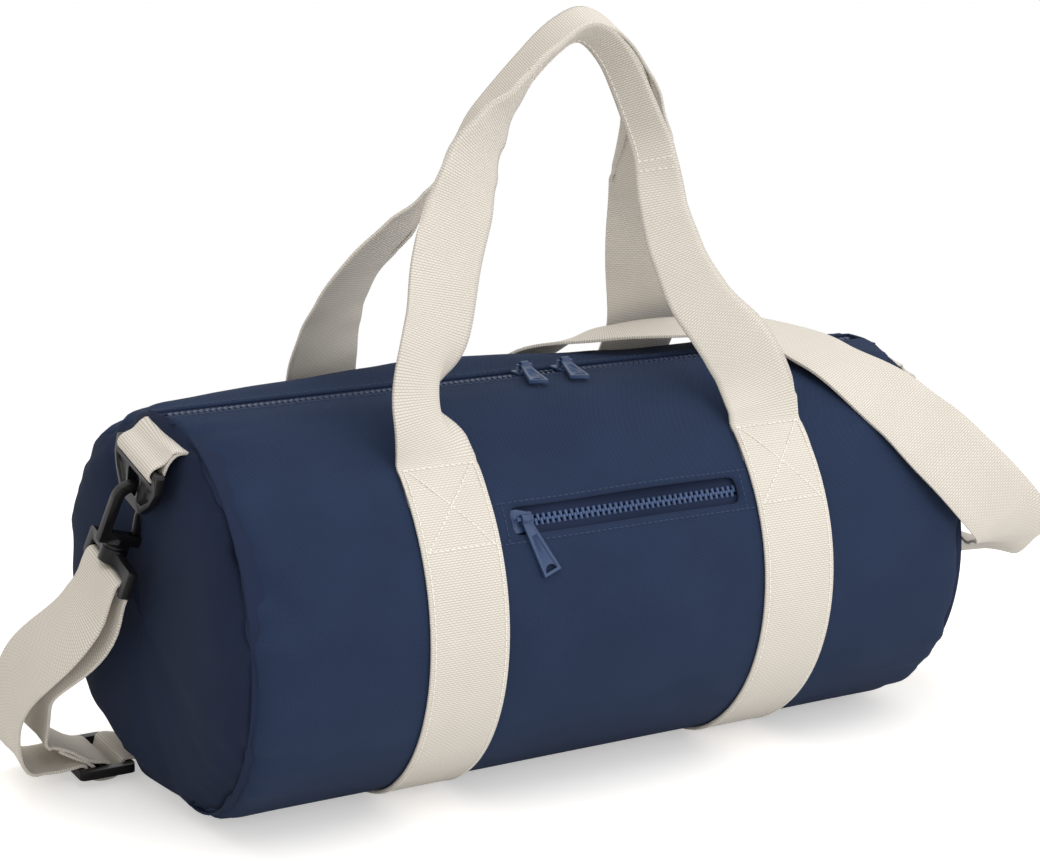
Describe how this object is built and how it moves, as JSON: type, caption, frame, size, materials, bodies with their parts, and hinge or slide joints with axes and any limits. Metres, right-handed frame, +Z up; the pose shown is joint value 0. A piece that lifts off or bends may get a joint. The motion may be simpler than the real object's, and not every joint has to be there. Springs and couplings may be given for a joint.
{
  "type": "barrel bag",
  "caption": "Soft cylindrical barrel bag with a zipped top and front pocket, webbing bands that become carry handles, and a shoulder strap on swivelling snap hooks.",
  "frame": {"origin": "on the floor under the middle of the bag, at the bottom centre without the shoulder strap and its fittings", "axes": "+X along the barrel to the end that the picture shows on the right, -Y to the front pocket, +Z up"},
  "size_m": [0.5242, 0.2348, 0.3705],
  "materials": {
    "navy_cloth": "matt twill weave",
    "cream_webbing": "ribbed webbing",
    "zip_tape": "woven tape",
    "zip_teeth": "moulded, semi-matt",
    "zip_hardware": "satin paint",
    "black_plastic": "moulded, satin"
  },
  "bodies": {
    "bag": {"barrel_panel": "navy_cloth", "end_panel_left": "navy_cloth", "end_panel_right": "navy_cloth", "seam_binding_left": "navy_cloth", "seam_binding_right": "navy_cloth", "webbing_band_left": "cream_webbing", "webbing_band_right": "cream_webbing", "pocket_lining": "navy_cloth", "main_zip_tape_front": "zip_tape", "main_zip_tape_rear": "zip_tape", "main_zip_teeth_front": "zip_teeth", "main_zip_teeth_rear": "zip_teeth", "pocket_zip_tape_front": "zip_tape", "pocket_zip_tape_rear": "zip_tape", "pocket_zip_teeth_front": "zip_teeth", "pocket_zip_teeth_rear": "zip_teeth", "ring_tab_left": "cream_webbing", "ring_tab_right": "cream_webbing", "shoulder_strap": "cream_webbing", "strap_sewn_end": "cream_webbing", "strap_end_right": "cream_webbing", "strap_adjuster": "black_plastic"},
    "front_handle": {"front_handle": "cream_webbing"},
    "rear_handle": {"rear_handle": "cream_webbing"},
    "main_slider_left": {"main_slider_left": "zip_hardware"},
    "main_pull_left": {"main_pull_left": "zip_hardware"},
    "main_slider_right": {"main_slider_right": "zip_hardware"},
    "main_pull_right": {"main_pull_right": "zip_hardware"},
    "pocket_slider": {"pocket_slider": "zip_hardware"},
    "pocket_pull": {"pocket_pull": "zip_hardware"},
    "ring_left": {"ring_left": "black_plastic"},
    "strap_loop_left": {"strap_loop_left": "black_plastic"},
    "snap_hook_left": {"snap_hook_left": "black_plastic"},
    "hook_gate_left": {"hook_gate_left": "black_plastic"},
    "ring_right": {"ring_right": "black_plastic"},
    "strap_loop_right": {"strap_loop_right": "black_plastic"},
    "snap_hook_right": {"snap_hook_right": "black_plastic"},
    "hook_gate_right": {"hook_gate_right": "black_plastic"}
  },
  "joints": [
    {"name": "front_handle_fold", "type": "hinge", "parent": "bag", "child": "front_handle", "pos_m": [0, -0.06626, 0.17223], "axis": [1, 0, 0], "range_deg": [0, 122]},
    {"name": "rear_handle_fold", "type": "hinge", "parent": "bag", "child": "rear_handle", "pos_m": [0, 0.06626, 0.17223], "axis": [-1, 0, 0], "range_deg": [0, 146]},
    {"name": "main_slider_left_slide", "type": "slide", "parent": "bag", "child": "main_slider_left", "axis": [-1, 0, 0], "range_m": [0, 0.165], "deforming": ["main_zip_teeth_front", "main_zip_teeth_rear"]},
    {"name": "main_pull_left_swing", "type": "hinge", "parent": "main_slider_left", "child": "main_pull_left", "pos_m": [-0.008, 0, 0.19576], "axis": [-1, 0, 0], "range_deg": [0, 170]},
    {"name": "main_slider_right_slide", "type": "slide", "parent": "bag", "child": "main_slider_right", "axis": [1, 0, 0], "range_m": [0, 0.158], "deforming": ["main_zip_teeth_front", "main_zip_teeth_rear"]},
    {"name": "main_pull_right_swing", "type": "hinge", "parent": "main_slider_right", "child": "main_pull_right", "pos_m": [0.015, 0, 0.19576], "axis": [-1, 0, 0], "range_deg": [0, 170]},
    {"name": "pocket_slider_slide", "type": "slide", "parent": "bag", "child": "pocket_slider", "axis": [1, 0, 0], "range_m": [0, 0.108], "deforming": ["pocket_zip_teeth_front", "pocket_zip_teeth_rear"]},
    {"name": "pocket_pull_swing", "type": "hinge", "parent": "pocket_slider", "child": "pocket_pull", "pos_m": [-0.0562, -0.08787, 0.14471], "axis": [-1, 0, 0], "range_deg": [0, 170]},
    {"name": "strap_loop_left_swing", "type": "hinge", "parent": "bag", "child": "strap_loop_left", "pos_m": [-0.2245, 0.00353, 0.12028], "axis": [0, -0.9781, -0.2079], "range_deg": [0, 6]},
    {"name": "ring_left_swing", "type": "hinge", "parent": "bag", "child": "ring_left", "pos_m": [-0.2105, -0.008, 0.1745], "axis": [0, 0.9781, 0.2079], "range_deg": [0, 13.72]},
    {"name": "snap_hook_left_swivel", "type": "hinge", "parent": "strap_loop_left", "child": "snap_hook_left", "pos_m": [-0.21216, -0.00471, 0.15903], "axis": [0.2974, -0.1985, 0.9339], "range_deg": [-15, 15]},
    {"name": "hook_gate_left_press", "type": "hinge", "parent": "snap_hook_left", "child": "hook_gate_left", "pos_m": [-0.21197, 0.00058, 0.13413], "axis": [0, -0.9781, -0.2079], "range_deg": [0, 18], "stiffness_Nm_per_rad": 0.02},
    {"name": "strap_loop_right_swing", "type": "hinge", "parent": "bag", "child": "strap_loop_right", "pos_m": [0.2245, 0.00353, 0.12028], "axis": [0, 0.9781, 0.2079], "range_deg": [0, 6]},
    {"name": "ring_right_swing", "type": "hinge", "parent": "bag", "child": "ring_right", "pos_m": [0.2105, -0.008, 0.1745], "axis": [0, -0.9781, -0.2079], "range_deg": [0, 13.72]},
    {"name": "snap_hook_right_swivel", "type": "hinge", "parent": "strap_loop_right", "child": "snap_hook_right", "pos_m": [0.21216, -0.00471, 0.15903], "axis": [-0.2974, -0.1985, 0.9339], "range_deg": [-15, 15]},
    {"name": "hook_gate_right_press", "type": "hinge", "parent": "snap_hook_right", "child": "hook_gate_right", "pos_m": [0.21197, 0.00058, 0.13413], "axis": [0, 0.9781, 0.2079], "range_deg": [0, 18], "stiffness_Nm_per_rad": 0.02}
  ],
  "couplings": [
    {"joint": "ring_left_swing", "follows": "strap_loop_left_swing", "ratio": 2.2789},
    {"joint": "ring_right_swing", "follows": "strap_loop_right_swing", "ratio": 2.2789}
  ]
}
